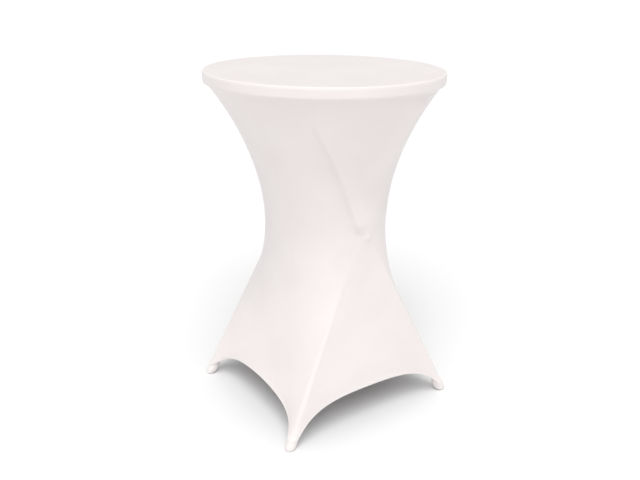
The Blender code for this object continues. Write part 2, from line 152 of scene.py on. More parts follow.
def add_node(tree, kind, settings=None, inputs=None):
    """Adds a shader node. An input is a value, or another node's output to link from."""
    made = tree.nodes.new("ShaderNode" + kind)
    for name, value in (settings or {}).items():
        setattr(made, name, value)
    for name, value in (inputs or {}).items():
        if isinstance(value, bpy.types.NodeSocket):
            tree.links.new(value, made.inputs[name])
        else:
            made.inputs[name].default_value = value
    return made


def new_material(name, sockets):
    """A material, its tree and its Principled shader with the given socket values."""
    material = bpy.data.materials.new(name)
    material.use_nodes = True
    tree = material.node_tree
    shader = tree.nodes["Principled BSDF"]
    for socket, value in sockets.items():
        shader.inputs[socket].default_value = value
    return material, tree, shader


def connect(tree, shader, colour, roughness, height, distance, strength):
    """Links a colour, a roughness and a bump height, in that order, to the shader."""
    tree.links.new(colour, shader.inputs["Base Color"])
    tree.links.new(roughness, shader.inputs["Roughness"])
    bump = add_node(tree, "Bump", None,
                    {"Height": height, "Distance": distance, "Strength": strength})
    tree.links.new(bump.outputs["Normal"], shader.inputs["Normal"])


def two_tone(tree, factor, first, second):
    """A colour between two hex colours, chosen by a 0 to 1 factor."""
    ramp = add_node(tree, "ValToRGB", None, {"Fac": factor})
    ramp.color_ramp.elements[0].color = linear(first)
    ramp.color_ramp.elements[1].color = linear(second)
    return ramp.outputs["Color"]


def spread(tree, factor, low, high):
    """Stretches a 0 to 1 factor over low to high, for a roughness."""
    return add_node(tree, "MapRange", None,
                    {"Value": factor, "To Min": low, "To Max": high}).outputs["Result"]


def math(tree, operation, first, second):
    """One Math node's result."""
    return add_node(tree, "Math", {"operation": operation},
                    {0: first, 1: second}).outputs["Value"]


print("helpers ready")

# %% [markdown]
# ### Warp-knitted polyester and elastane
#
# The cloth is a smooth tricot. Fine ribs, the wales, run down the cloth about 1 mm apart, and
# the loops of the courses cross them. Both are two Wave textures on the UV map, drawn at 1.6
# and 1.3 mm, since finer ones can't be seen. The yarn takes the dye evenly, but a stretched
# knit opens and closes a little, which a broad noise gives. Synthetic yarn has a soft shine,
# so the roughness is middling and there is a little sheen.

# %% Knit material
WALE_SPACING = 0.0016
COURSE_SPACING = 0.0013
OPENING_SCALE = 5.0         # a noise of scale 5 changes over about 20 cm
SLUB_SCALE = 240.0          # and one of scale 240 over about 4 mm
LOOP_CONTRAST = 0.16        # how much the loops change the tone
KNIT_RELIEF = 0.0003


def knit(name, light, shade):
    """White stretch tricot, between a light and a shaded tone."""
    material, tree, shader = new_material(name, {
        "Sheen Weight": 0.12, "Sheen Roughness": 0.45, "Specular IOR Level": 0.45})
    place = add_node(tree, "TexCoord").outputs["UV"]
    wales = add_node(tree, "TexWave", {"bands_direction": "X"},
                     {"Vector": place, "Scale": WAVE_PERIOD / WALE_SPACING,
                      "Distortion": 0.35, "Detail": 1.0}).outputs["Fac"]
    courses = add_node(tree, "TexWave", {"bands_direction": "Y"},
                       {"Vector": place, "Scale": WAVE_PERIOD / COURSE_SPACING,
                        "Distortion": 0.35, "Detail": 1.0}).outputs["Fac"]
    loops = math(tree, "MULTIPLY", wales, courses)
    opening = add_node(tree, "TexNoise", None,
                       {"Vector": place, "Scale": OPENING_SCALE, "Detail": 3.0,
                        "Roughness": 0.5}).outputs["Fac"]
    slubs = add_node(tree, "TexNoise", None,
                     {"Vector": place, "Scale": SLUB_SCALE, "Detail": 2.0}).outputs["Fac"]
    tone = math(tree, "MULTIPLY_ADD", loops, LOOP_CONTRAST)
    tree.links.new(opening, tone.node.inputs[2])
    colour = two_tone(tree, tone, shade, light)
    roughness = spread(tree, slubs, 0.38, 0.52)
    height = math(tree, "MULTIPLY_ADD", slubs, 0.5)
    tree.links.new(loops, height.node.inputs[2])
    connect(tree, shader, colour, roughness, height, KNIT_RELIEF, 0.30)
    return material


cover_cloth = knit("stretch_tricot_white", "#F1EBEA", "#E6DEDD")
hem_cloth = knit("stretch_tricot_doubled", "#F2EDEC", "#E7E0DF")
print("cloth:", cover_cloth.name, hem_cloth.name)

# %% [markdown]
# ### Thread and table finishes
#
# Polyester thread is a fine twisted yarn: slanting bands 0.4 mm apart. The table is hidden but
# for a look from below. Its tubes are powder-coated, which leaves a fine orange peel, its bolts
# and brackets are zinc-plated, the plugs, spacers and edge band are moulded, the foot caps are
# rubber, and the board is chipboard under a melamine film.

# %% Thread material
TWIST_SPACING = 0.0004

thread, tree, shader = new_material("polyester_thread_white", {"Sheen Weight": 0.1})
place = add_node(tree, "TexCoord").outputs["UV"]
twist = add_node(tree, "TexWave", {"bands_direction": "DIAGONAL"},
                 {"Vector": place, "Scale": WAVE_PERIOD / TWIST_SPACING,
                  "Distortion": 0.4}).outputs["Fac"]
connect(tree, shader, two_tone(tree, twist, "#EDE8E6", "#FBF8F5"),
        spread(tree, twist, 0.42, 0.55), twist, 0.0001, 0.4)
print("thread:", thread.name)

# %% Hard materials


def cast(name, sockets, tones, roughness, grain, distance, strength, wear=7.0):
    """A hard finish: broad wear drives the tone and the gloss, and a fine grain the bump."""
    material, tree, shader = new_material(name, sockets)
    place = add_node(tree, "TexCoord").outputs["Object"]
    broad = add_node(tree, "TexNoise", None,
                     {"Vector": place, "Scale": wear, "Detail": 5.0,
                      "Roughness": 0.6}).outputs["Fac"]
    fine = add_node(tree, "TexNoise", None,
                    {"Vector": place, "Scale": 1 / grain, "Detail": 2.0}).outputs["Fac"]
    both = math(tree, "MULTIPLY_ADD", fine, 0.3)
    tree.links.new(math(tree, "MULTIPLY", broad, 0.7), both.node.inputs[2])
    connect(tree, shader, two_tone(tree, both, *tones),
            spread(tree, both, *roughness), fine, distance, strength)
    return material


FINISHES = {
    # Powder coat: a satin film with dimples about 1.5 mm across.
    "coated_steel": cast("powder_coated_steel_grey", {"Specular IOR Level": 0.5},
                         ("#83878A", "#A2A6A9"), (0.34, 0.48), 0.0015, 0.0002, 0.25),
    # Zinc plate: bright, slightly mottled metal.
    "zinc_steel": cast("zinc_plated_steel", {"Metallic": 1.0},
                       ("#A9ADB0", "#D2D5D6"), (0.22, 0.40), 0.0008, 0.0001, 0.2, 60.0),
    # Moulded polyamide: a fine spark-eroded grain.
    "black_nylon": cast("moulded_polyamide_black", {"Specular IOR Level": 0.45},
                        ("#161617", "#262728"), (0.45, 0.62), 0.0006, 0.0001, 0.3),
    # Rubber: matt, with a little chalky bloom.
    "grey_rubber": cast("moulded_rubber_grey", {"Specular IOR Level": 0.35},
                        ("#5A5B5D", "#6E7072"), (0.70, 0.88), 0.0009, 0.0002, 0.35),
    # Melamine film on chipboard: a hammered satin surface.
    "board_laminate": cast("melamine_faced_board", {"Specular IOR Level": 0.5},
                           ("#C9C6C0", "#D9D6D1"), (0.38, 0.50), 0.0012, 0.0001, 0.25),
    # Edge band: moulded styrene plastic.
    "edge_plastic": cast("moulded_edge_band_grey", {"Specular IOR Level": 0.45},
                         ("#4A4C4E", "#5B5D5F"), (0.40, 0.55), 0.0008, 0.0001, 0.25),
}
print("table finishes:", len(FINISHES))

# %% Paint the table


def paint(obj, material):
    """The piece has this one material."""
    obj.data.materials.clear()
    obj.data.materials.append(material)


HARD_PARTS = [
    ("leg", "coated_steel"), ("top_bar", "coated_steel"), ("stretcher", "coated_steel"),
    ("pivot_bolt", "zinc_steel"), ("pivot_nut", "zinc_steel"), ("bracket", "zinc_steel"),
    ("pivot_spacer", "black_nylon"), ("top_plug", "black_nylon"), ("rest_clip", "black_nylon"),
    ("foot_cap", "grey_rubber"), ("tabletop_board", "board_laminate"),
    ("tabletop_edge_band", "edge_plastic"),
]
painted = 0
for name, node in nodes.items():
    for word, finish in HARD_PARTS:
        if word in name:
            paint(node, FINISHES[finish])
            painted += 1
print("painted table pieces:", painted)

# %% [markdown]
# ### The floor and the sky
#
# The floor is pale matt paper. It is nearly white, with a trace of fibre in its colour. The sky
# is an even white at about half strength: it fills the shade without washing it out.

# %% Floor material and sky
SKY_STRENGTH = 0.52

paint(floor, cast("studio_paper", {"Specular IOR Level": 0.1}, ("#EEEEEE", "#F0F0F0"),
                  (0.85, 0.95), 0.004, 0.0002, 0.05, 0.6))
world = bpy.data.worlds.new("studio_sky")
world.use_nodes = True
sky = world.node_tree.nodes["Background"]
sky.inputs["Color"].default_value = linear("#FFFFFF")
sky.inputs["Strength"].default_value = SKY_STRENGTH
bpy.context.scene.world = world
print("sky strength:", sky.inputs["Strength"].default_value)


# %% [markdown]
# ## The skirt's shape
#
# The skirt is cloth under tension between the rim and the feet. Such a cloth settles where the
# pulls on each of its points are in balance, which gives the hourglass shape. It touches the
# table only at the rim, along the legs and at the two bolt heads. A cloth simulation can find
# that shape, but thin tubes tear through its mesh. Here the balance is solved directly. The
# skirt is a net of points, and each point moves to the mean of its four neighbours, weighted by
# how hard the cloth pulls that way. Then points that have sunk into a leg or a bolt head are
# pushed back out, and all of it repeats until it rests. A coarse net is solved first and then
# made finer three times, which takes seconds.

# %% The legs under the skirt
PIVOT_HEIGHT = float(np.mean([corner[2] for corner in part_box("pivot_bolt_front")]))
LEG_LEAN = 0.338 / 0.684    # a leg's run in X for its rise
LEG_SPLAY = 0.1243          # and in Y
LEG_SPREAD = {"outer": 0.238, "inner": 0.202}
LEG_TOP = 1.155
LEG_LENGTH = (1 + LEG_LEAN ** 2 + LEG_SPLAY ** 2) ** 0.5     # for a rise of 1
FEET = [("outer", -1), ("outer", 1), ("inner", 1), ("inner", -1)]


def leg_axis(frame_name, side, height):
    """The point on a leg's axis at that height. The outer frame's feet are at +X."""
    facing = 1 if frame_name == "outer" else -1
    drop = PIVOT_HEIGHT - height
    return np.array([facing * LEG_LEAN * drop,
                     side * (LEG_SPREAD[frame_name] + LEG_SPLAY * drop), height])


def round_leg(foot, height, radius, turn):
    """A level slice through a tube round a leg: an ellipse, longer the way the leg leans."""
    middle = leg_axis(*foot, height)
    lean = leg_axis(*foot, 0.0) - leg_axis(*foot, 1.0)
    lean = lean * (1.0, 1.0, 0.0) / hypot(lean[0], lean[1])
    ring = radius * np.stack([np.cos(turn), np.sin(turn), np.zeros_like(turn)], axis=-1)
    return middle + ring + (LEG_LENGTH - 1) * (ring @ lean)[..., None] * lean


for foot in FEET:
    print("foot", foot, "stands at", leg_axis(*foot, 0.0).round(3))

# %% [markdown]
# The net's upper edge is a circle under the rim's lip. Its lower edge is the hem: it wraps the
# outer side of each foot and rises between the feet in an arch, which the cloth's own tension
# also draws inwards. The columns of the net start at one foot and go round from foot to foot.

# %% The net's two edges
RIM_GRIP_RADIUS = 0.389
RIM_GRIP_HEIGHT = 1.1625
HEM_LOW = 0.035             # the hem's height at a foot
WRAP_RADIUS = 0.0195        # the hem's line round a foot
WRAP_EXTRA = 20.0           # degrees that it wraps past the corner
STEEPER_ENDS = 0.05         # holds the hem close to the legs where it leaves them
# For each side: the arch's height, its draw inwards, and how full the two curves are.
ARCHES = [(0.130, 0.050, 2.0, 5.0), (0.132, 0.020, 2.6, 3.0)] * 2


def wrap_point(foot, angle):
    """A point of the hem on the circle round a foot; the angle is in degrees."""
    return round_leg(foot, HEM_LOW, WRAP_RADIUS, np.array([radians(angle)]))[0]


def hem_line(columns, wrap_columns):
    """The hem's points, one for each column, from the middle of the first foot's wrap."""
    points = []
    for side, (height, draw, height_power, draw_power) in enumerate(ARCHES):
        this_foot = FEET[side]
        next_foot = FEET[(side + 1) % 4]
        middle = 90.0 * side - 45.0
        wrap = 45.0 + WRAP_EXTRA
        for step in range(wrap_columns):
            points.append(wrap_point(this_foot, middle + wrap * step / wrap_columns))
        start = wrap_point(this_foot, middle + wrap)
        end = wrap_point(next_foot, middle + 90.0 - wrap)
        outwards = np.array([cos(radians(90.0 * side)), sin(radians(90.0 * side)), 0.0])
        steps = columns // 4 - 2 * wrap_columns
        for step in range(steps + 1):
            share = step / steps
            across = abs(2 * share - 1)
            point = start + (end - start) * (share - STEEPER_ENDS * sin(2 * pi * share))
            point = point - outwards * draw * (1 - across ** draw_power)
            point[2] = HEM_LOW + (height - HEM_LOW) * (1 - across ** height_power)
            points.append(point)
        for step in range(1, wrap_columns):
            turn = wrap * (1 - step / wrap_columns)
            points.append(wrap_point(next_foot, middle + 90.0 - turn))
    return np.array(points)


def rim_line(columns):
    """The circle under the lip, with one point for each column."""
    turn = np.radians(-45.0 + 360.0 * np.arange(columns) / columns)
    return np.stack([RIM_GRIP_RADIUS * np.cos(turn), RIM_GRIP_RADIUS * np.sin(turn),
                     np.full(columns, RIM_GRIP_HEIGHT)], axis=1)


lengths = np.linalg.norm(np.diff(hem_line(192, 4), axis=0), axis=1)
print("hem's length:", round(float(lengths.sum()), 3), "m")

# %% Contact with the legs and bolts
LEG_CONTACT = 0.0155        # a leg's radius and the cloth's thickness
HEAD_CONTACT = 0.0120       # a bolt head's radius with the cloth over it
HEAD_FACE = 0.2612          # its face's distance from the middle plane
HEAD_DOME = 0.0035          # how far the cloth falls off towards the head's edge
REACH = 0.08                # cloth further than this behind a leg belongs to another leg


def push_off_legs(net):
    """Moves points that are inside a leg straight out through its outer side."""
    for foot in FEET:
        low, high = leg_axis(*foot, 0.0), leg_axis(*foot, LEG_TOP)
        length = np.linalg.norm(high - low)
        along = (high - low) / length
        distance = (net - low) @ along
        nearest = low + distance[..., None] * along
        out = nearest * (1.0, 1.0, 0.0)
        out -= (out @ along)[..., None] * along
        out /= np.linalg.norm(out, axis=-1, keepdims=True)
        offset = net - nearest
        height = (offset * out).sum(-1)
        sideways = (offset * offset).sum(-1) - height * height
        needed = np.sqrt(np.maximum(LEG_CONTACT ** 2 - sideways, 0.0))
        inside = ((sideways < LEG_CONTACT ** 2) & (height < needed) & (height > -REACH)
                  & (distance > 0.0) & (distance < length))
        net = net + np.where(inside, needed - height, 0.0)[..., None] * out
    return net


def push_off_bolts(net):
    """Lifts points over the two domed bolt heads."""
    from_axis = net[..., 0] ** 2 + (net[..., 2] - PIVOT_HEIGHT) ** 2
    needed = HEAD_FACE - HEAD_DOME * from_axis / HEAD_CONTACT ** 2
    for side in (-1, 1):
        out = side * net[..., 1]
        inside = (from_axis < HEAD_CONTACT ** 2) & (out < needed) & (out > HEAD_FACE - REACH)
        net[..., 1] = np.where(inside, side * needed, net[..., 1])
    return net


print("contact radius:", LEG_CONTACT, "m")

# %% [markdown]
# The cloth isn't pulled equally both ways. Down the skirt the feet pull hard. Round it the
# pull is weaker near the rim, where the cloth was cut to its full width, and grows towards
# the hem. The ratio of the two decides how narrow the waist gets.

# %% Solve the balance
ROUND_PULL = [0.50, 0.60, 0.75, 0.90]    # pull round the skirt for a pull of 1 down it
PULL_PLACES = [0.00, 0.25, 0.45, 1.00]   # at these shares of the way from rim to hem
# For each level of the net: its columns, its rows and the steps to balance it.
LEVELS = [(48, 25, 600), (96, 49, 400), (192, 97, 400), (384, 193, 160)]


def finer(net, rows, columns):
    """The same net with about twice the rows and columns."""
    place = np.linspace(0, len(net) - 1, rows)
    row = np.minimum(place.astype(int), len(net) - 2)
    share = (place - row)[:, None, None]
    net = net[row] * (1 - share) + net[row + 1] * share
    between = (net + np.roll(net, -1, axis=1)) / 2
    return np.stack([net, between], axis=2).reshape(rows, columns, 3)


def relax(net, steps):
    """Balances the net's inner rows; the first and the last row are held."""
    pull = np.interp(np.linspace(0, 1, len(net)), PULL_PLACES, ROUND_PULL)[1:-1, None, None]
    for _ in range(steps):
        beside = np.roll(net, 1, axis=1)[1:-1] + np.roll(net, -1, axis=1)[1:-1]
        inner = (pull * beside + net[:-2] + net[2:]) / (2 * pull + 2)
        net[1:-1] = push_off_bolts(push_off_legs(inner))
    return net


net = None
for columns, rows, steps in LEVELS:
    rim, hem = rim_line(columns), hem_line(columns, columns // 48)
    if net is None:
        down = np.linspace(0, 1, rows)[:, None, None]
        net = rim * (1 - down) + hem * down
    else:
        net = finer(net, rows, columns)
        net[0], net[-1] = rim, hem
    net = relax(net, steps)
    waist = net[np.argmin(abs(net[:, :, 2].mean(axis=1) - PIVOT_HEIGHT))]
    print(rows, "x", columns, "net, waist", np.ptp(waist[:, 0]).round(3), "m wide")


# %% [markdown]
# Where the pull is strongest, a stretched cloth folds into a straight crease. Two run up
# towards the rim on each side: a sharp one from the bolt head, near the outer frame's leg, and
# a softer one further round, on the inner frame's side. The balance alone leaves them too soft,
# so both are set out one by one. Down the four legs the cloth forms a narrow ridge. Each crease
# is a line of (height, degrees round the table), along which the net's points move out. Its two
# flanks fall away over different widths, which makes one of them the steeper, and its size
# fades in and out between four heights.

# %% Outward normals


def cloth_normals(net):
    """Outward unit normals of a closed net whose rows go down."""
    across = np.roll(net, -1, axis=1) - np.roll(net, 1, axis=1)
    down = np.gradient(net, axis=0)
    normal = np.cross(down, across)
    return normal / np.linalg.norm(normal, axis=2, keepdims=True)


half = len(net) // 2
print("outward part:", (cloth_normals(net)[half] * net[half]).sum(axis=1).mean().round(3))

# %% Creases
CREST_BLUNT = 0.0025        # rounds the crest off
OUTER_CREASE = [(0.690, 265.0), (0.703, 262.3), (0.808, 252.8), (0.904, 244.4),
                (0.969, 238.8), (1.033, 232.5), (1.087, 228.5), (1.160, 224.0)]
INNER_CREASE = [(0.800, 276.0), (0.930, 280.0), (1.002, 282.1), (1.066, 284.2),
                (1.130, 286.4), (1.160, 287.5)]
OUTER_FADE = (0.690, 0.730, 1.060, 1.140)
INNER_FADE = (0.830, 0.980, 1.110, 1.158)
RIDGE_FADE = (0.050, 0.120, 0.560, 0.660)
OUTER_SIZE = 0.0165
INNER_SIZE = 0.0250
RIDGE_SIZE = 0.0030
OUTER_FLANKS = (0.013, 0.075)
INNER_FLANKS = (0.080, 0.035)
RIDGE_FLANK = 0.012


def crease(net, line, size, before, after, fade):
    """Moves points out along a crease; before and after are its flanks' widths going round."""
    heights, degrees = np.array(line).T
    level = net[..., 2]
    turn = np.degrees(np.arctan2(net[..., 1], net[..., 0])) - np.interp(level, heights, degrees)
    turn = np.radians((turn + 180.0) % 360.0 - 180.0)
    across = turn * np.hypot(net[..., 0], net[..., 1])
    width = np.where(across < 0, before, after)
    blunt = np.sqrt(across ** 2 + CREST_BLUNT ** 2)
    share = np.interp(level, fade, [0.0, 1.0, 1.0, 0.0])
    rise = size * share * np.exp(-blunt / width)
    return net + rise[..., None] * cloth_normals(net)


def mirrored(line):
    """The same crease on the rear of the table."""
    return [(height, -degrees) for height, degrees in line]


for front in (True, False):
    outer_line = OUTER_CREASE if front else mirrored(OUTER_CREASE)
    inner_line = INNER_CREASE if front else mirrored(INNER_CREASE)
    outer_flanks = OUTER_FLANKS if front else OUTER_FLANKS[::-1]
    inner_flanks = INNER_FLANKS if front else INNER_FLANKS[::-1]
    net = crease(net, outer_line, OUTER_SIZE, *outer_flanks, OUTER_FADE)
    net = crease(net, inner_line, INNER_SIZE, *inner_flanks, INNER_FADE)
for foot in FEET:
    leg_line = []
    for height in np.linspace(0.04, 0.66, 12):
        spot = leg_axis(*foot, height)
        leg_line.append((height, np.degrees(np.arctan2(spot[1], spot[0]))))
    net = crease(net, leg_line, RIDGE_SIZE, RIDGE_FLANK, RIDGE_FLANK, RIDGE_FADE)
print("creased:", net.shape)


# %% [markdown]
# ## From net to cloth
#
# A grid primitive becomes the cloth: its vertices move to the net's points, its two side edges
# are merged where the sheet closes round, and Solidify gives it its thickness inwards. The UV
# map is set in metres, from the mean width of a column and the mean length of a row.
#
# When the table folds, the two leg frames turn against each other and the top tips up. One
# piece can bend between only two of these bodies, so the skirt is cut at the waist into an
# upper and a lower part.

# %% Sheets from nets
CLOTH_THICKNESS = 0.0012
RIM_CREASE = radians(50)    # edges sharper than this stay sharp


def keep_uv(mesh, across, down):
    """Writes a UV map in metres from each vertex's column and row on the grid."""
    corner = np.empty(len(mesh.loops), int)
    mesh.loops.foreach_get("vertex_index", corner)
    uv = np.stack([across[corner], down[corner]], axis=1).astype(np.float32)
    mesh.uv_layers.active.data.foreach_set("uv", uv.ravel())


def sheet_from_net(name, net, material):
    """A cloth piece. The net's rows go down and its columns anticlockwise from above."""
    net = np.concatenate([net, net[:, :1]], axis=1)
    rows, columns = len(net), len(net[0])
    deselect()
    bpy.ops.mesh.primitive_grid_add(x_subdivisions=columns - 1, y_subdivisions=rows - 1, size=2)
    piece = bpy.context.object
    piece.name = piece.data.name = name
    place = np.empty(rows * columns * 3)
    piece.data.vertices.foreach_get("co", place)
    place = place.reshape(-1, 3)
    column = np.rint((place[:, 0] + 1) / 2 * (columns - 1)).astype(int)
    row = np.rint((1 - place[:, 1]) / 2 * (rows - 1)).astype(int)
    piece.data.vertices.foreach_set("co", net[row, column].ravel())
    width = np.linalg.norm(np.diff(net, axis=1), axis=2).mean()
    length = np.linalg.norm(np.diff(net, axis=0), axis=2).mean()
    keep_uv(piece.data, column * width, -row * length)
    bpy.ops.object.mode_set(mode="EDIT")
    bpy.ops.mesh.select_all(action="SELECT")
    bpy.ops.mesh.remove_doubles(threshold=1e-6)
    bpy.ops.object.mode_set(mode="OBJECT")
    wall = piece.modifiers.new("thickness", "SOLIDIFY")
    wall.thickness = CLOTH_THICKNESS
    wall.offset = -1.0
    bpy.ops.object.modifier_apply(modifier=wall.name)
    bpy.ops.object.shade_smooth_by_angle(angle=RIM_CREASE)
    paint(piece, material)
    return piece


SPLIT_ABOVE = 0.05          # the skirt is cut this far above the pivots
SPLIT_ROW = int(np.argmin(abs(net[:, :, 2].mean(axis=1) - PIVOT_HEIGHT - SPLIT_ABOVE)))
skirt_upper = sheet_from_net("cover_skirt_upper", net[:SPLIT_ROW + 1], cover_cloth)
skirt_lower = sheet_from_net("cover_skirt_lower", net[SPLIT_ROW:], cover_cloth)
for piece in (skirt_upper, skirt_lower):
    area = sum(face.area for face in piece.data.polygons) / 2
    print(piece.name, len(piece.data.polygons), "faces, area", round(area, 3), "m2")


# %% [markdown]
# ## Top panel and rim band
#
# The top panel is a round of the same cloth on the board, and the rim band goes round the
# board's edge and a little under it. Both are figures of revolution, so each is a net made from
# a profile. The seam between them gathers the cloth very slightly, so both edges carry fine
# ripples that die out within about 15 mm.

# %% Profiles of the rim
RIM_OUTSIDE = 0.400
TOP_HEIGHT = 1.200
LIP_HEIGHT = 1.1624
ROUNDING = 0.008
RIM_COLUMNS = 768
PUCKER = 0.00030            # height of the ripples beside the seam
PUCKER_SLOPE = 0.7          # its share outwards and upwards, since the seam lies at 45 degrees
PUCKER_REACH = 0.012
PUCKERS = 230               # about 11 mm apart


def rounded(centre_height, degrees):
    """Points on the rim's rounding, at those angles above the horizontal."""
    centre = RIM_OUTSIDE - ROUNDING
    return [(centre + ROUNDING * cos(radians(a)), centre_height + ROUNDING * sin(radians(a)))
            for a in degrees]


def turned(profile, columns, ripple):
    """A net of rings from (radius, height) points, rippled beside the seam."""
    turn = 2 * pi * np.arange(columns) / columns
    seam = np.array(rounded(TOP_HEIGHT - ROUNDING, [45])[0])
    wave = np.sin(PUCKERS * turn) + 0.5 * np.sin(1.618 * PUCKERS * turn + 2.0)
    swell = 0.6 + 0.4 * np.sin(17 * turn + 1.0) * np.sin(5 * turn)
    rows = []
    for radius, height in profile:
        near = np.exp(-np.linalg.norm(seam - (radius, height)) / PUCKER_REACH)
        gather = PUCKER_SLOPE * ripple * near * wave * swell
        ring = radius + gather
        level = height + gather
        rows.append(np.stack([ring * np.cos(turn), ring * np.sin(turn),
                              np.broadcast_to(level, columns)], axis=1))
    return np.array(rows)


upper_middle = TOP_HEIGHT - ROUNDING
lower_middle = LIP_HEIGHT + ROUNDING
panel_profile = [(radius, TOP_HEIGHT) for radius in (0.0005, 0.06, 0.14, 0.22, 0.29, 0.335,
                                                     0.360, 0.372, 0.380, 0.386)]
panel_profile += rounded(upper_middle, [90, 80, 70, 60, 52])
band_profile = rounded(upper_middle, [38, 28, 18, 8])
band_profile += [(RIM_OUTSIDE, height) for height in np.linspace(upper_middle, lower_middle, 7)]
band_profile += rounded(lower_middle, [-12, -26, -40, -54, -68, -80, -90])
band_profile += [(0.3905, LIP_HEIGHT), (RIM_GRIP_RADIUS, LIP_HEIGHT)]
print("profile points:", len(panel_profile), len(band_profile))

# %% Make the panel and the band
top_net = turned(panel_profile, RIM_COLUMNS, PUCKER)
top_net[0] = (0.0, 0.0, TOP_HEIGHT)
top_panel = sheet_from_net("cover_top_cloth", top_net, cover_cloth)
place = np.empty(len(top_panel.data.vertices) * 3)
top_panel.data.vertices.foreach_get("co", place)
keep_uv(top_panel.data, place[0::3], place[1::3])
rim_band = sheet_from_net("cover_rim_cloth", turned(band_profile, RIM_COLUMNS, PUCKER),
                          cover_cloth)
print("top and rim:", len(top_panel.data.polygons), len(rim_band.data.polygons), "faces")

# %% [markdown]
# ### The seam round the top
#
# The two edges are joined by an overlock seam, which shows as a fine raised line with a ripple
# every 3 mm, where each stitch pulls it in. A tube swept round the rim and thinned at each
# stitch gives it.

# %% Tubes swept along a path


def tube_net(path, sides, radius):
    """Rings of points round a closed level path, with one radius for each of its points."""
    ahead = np.roll(path, -1, axis=0) - np.roll(path, 1, axis=0)
    ahead /= np.linalg.norm(ahead, axis=1, keepdims=True)
    across = np.cross(ahead, (0.0, 0.0, 1.0))
    across /= np.linalg.norm(across, axis=1, keepdims=True)
    upwards = np.cross(across, ahead)
    turn = 2 * pi * np.arange(sides) / sides
    ring = (np.cos(turn)[None, :, None] * across[:, None]
            + np.sin(turn)[None, :, None] * upwards[:, None])
    return path[:, None] + radius[:, None, None] * ring


def mesh_piece(name, points, faces, material):
    """A piece from points and faces, its doubles merged and its faces turned outwards."""
    mesh = bpy.data.meshes.new(name)
    mesh.from_pydata([tuple(point) for point in points], [], [tuple(face) for face in faces])
    mesh.uv_layers.new(name="UVMap")
    piece = bpy.data.objects.new(name, mesh)
    bpy.context.collection.objects.link(piece)
    deselect()
    piece.select_set(True)
    bpy.context.view_layer.objects.active = piece
    bpy.ops.object.mode_set(mode="EDIT")
    bpy.ops.mesh.select_all(action="SELECT")
    bpy.ops.mesh.remove_doubles(threshold=1e-6)
    bpy.ops.mesh.normals_make_consistent(inside=False)
    bpy.ops.object.mode_set(mode="OBJECT")
    bpy.ops.object.shade_smooth_by_angle(angle=RIM_CREASE)
    paint(piece, material)
    return piece


def ring_faces(rings, sides, closed):
    """Faces between neighbouring rings, and the two end caps where the tube is open."""
    faces = []
    for ring in range(rings if closed else rings - 1):
        after = (ring + 1) % rings
        for side in range(sides):
            beside = (side + 1) % sides
            faces.append((ring * sides + side, ring * sides + beside,
                          after * sides + beside, after * sides + side))
    if not closed:
        faces.append(range(sides))
        faces.append(range((rings - 1) * sides, rings * sides))
    return faces


def swept(name, net, closed, material):
    """A closed skin over a net of rings, with a UV map in metres along and round it."""
    rings, sides = net.shape[:2]
    piece = mesh_piece(name, net.reshape(-1, 3), ring_faces(rings, sides, closed), material)
    step = np.linalg.norm(np.diff(net.mean(axis=1), axis=0), axis=1)
    along = np.concatenate([[0.0], np.cumsum(step)])
    girth = np.linalg.norm(net[0, 0] - net[0, 1])
    keep_uv(piece.data, np.repeat(along, sides), np.tile(np.arange(sides) * girth, rings))
    return piece


SEAM_RADIUS = 0.0012
SEAM_STITCH = 0.003
SEAM_PINCH = 0.16           # how much each stitch thins the seam
SEAM_RINGS = 3400
SEAM_SIDES = 6
seam_turn = 2 * pi * np.arange(SEAM_RINGS) / SEAM_RINGS
seam_radius, seam_height = rounded(upper_middle, [45])[0]
seam_path = np.stack([seam_radius * np.cos(seam_turn), seam_radius * np.sin(seam_turn),
                      np.full(SEAM_RINGS, seam_height)], axis=1)
stitch_wave = np.cos(seam_turn * round(2 * pi * seam_radius / SEAM_STITCH))
seam_net = tube_net(seam_path, SEAM_SIDES, SEAM_RADIUS * (1 + SEAM_PINCH * stitch_wave))
top_seam = swept("cover_edge_seam", seam_net, True, thread)
print("seam:", len(top_seam.data.polygons), "faces")


# %% [markdown]
# ## Hems
#
# The skirt's lower edge is turned up 13 mm and sewn with a twin needle. The hem is a band of
# doubled cloth, a little proud on both sides and rounded over the fold. It is swept along the
# net's last row: at each column the band's section is set out along the cloth and its normal.
# There is one hem for each of the four arches.

# %% Follow the cloth near its edge
HEM_WIDTH = 0.013
HEM_FACE = 0.0010           # the hem's outer face above the cloth's
HEM_ROWS = 3                # the rows of the net that the hem covers
# The section: the distance up from the edge, and out from the cloth's outer face.
HEM_SECTION = [(HEM_WIDTH, 0.0001), (0.0122, 0.0008), (0.0080, HEM_FACE), (0.0020, HEM_FACE),
               (0.0004, 0.0007), (-0.0006, -0.0006), (0.0004, -0.0019), (0.0020, -0.0022),
               (0.0080, -0.0022), (0.0122, -0.0020), (HEM_WIDTH, -0.0013)]


def up_from_hem(net, column, distance):
    """The point that far up the cloth from the hem, along a column."""
    line = net[::-1, column]
    steps = np.concatenate([[0.0], np.cumsum(np.linalg.norm(np.diff(line, axis=0), axis=1))])
    if distance < 0:
        return line[0] + (line[0] - line[1]) / steps[1] * -distance
    return np.array([np.interp(distance, steps, line[:, axis]) for axis in range(3)])


normals = cloth_normals(net)

# %% Sweep the four hems
COLUMNS = net.shape[1]
ARCH_NAMES = {0: "right", 1: "rear", 2: "left", 3: "front"}


def hem_normal(column, share):
    """The cloth's normal near the hem, share of the way up to the hem's top."""
    row = len(net) - 2 - int(round(HEM_ROWS * share))
    return normals[row, column]


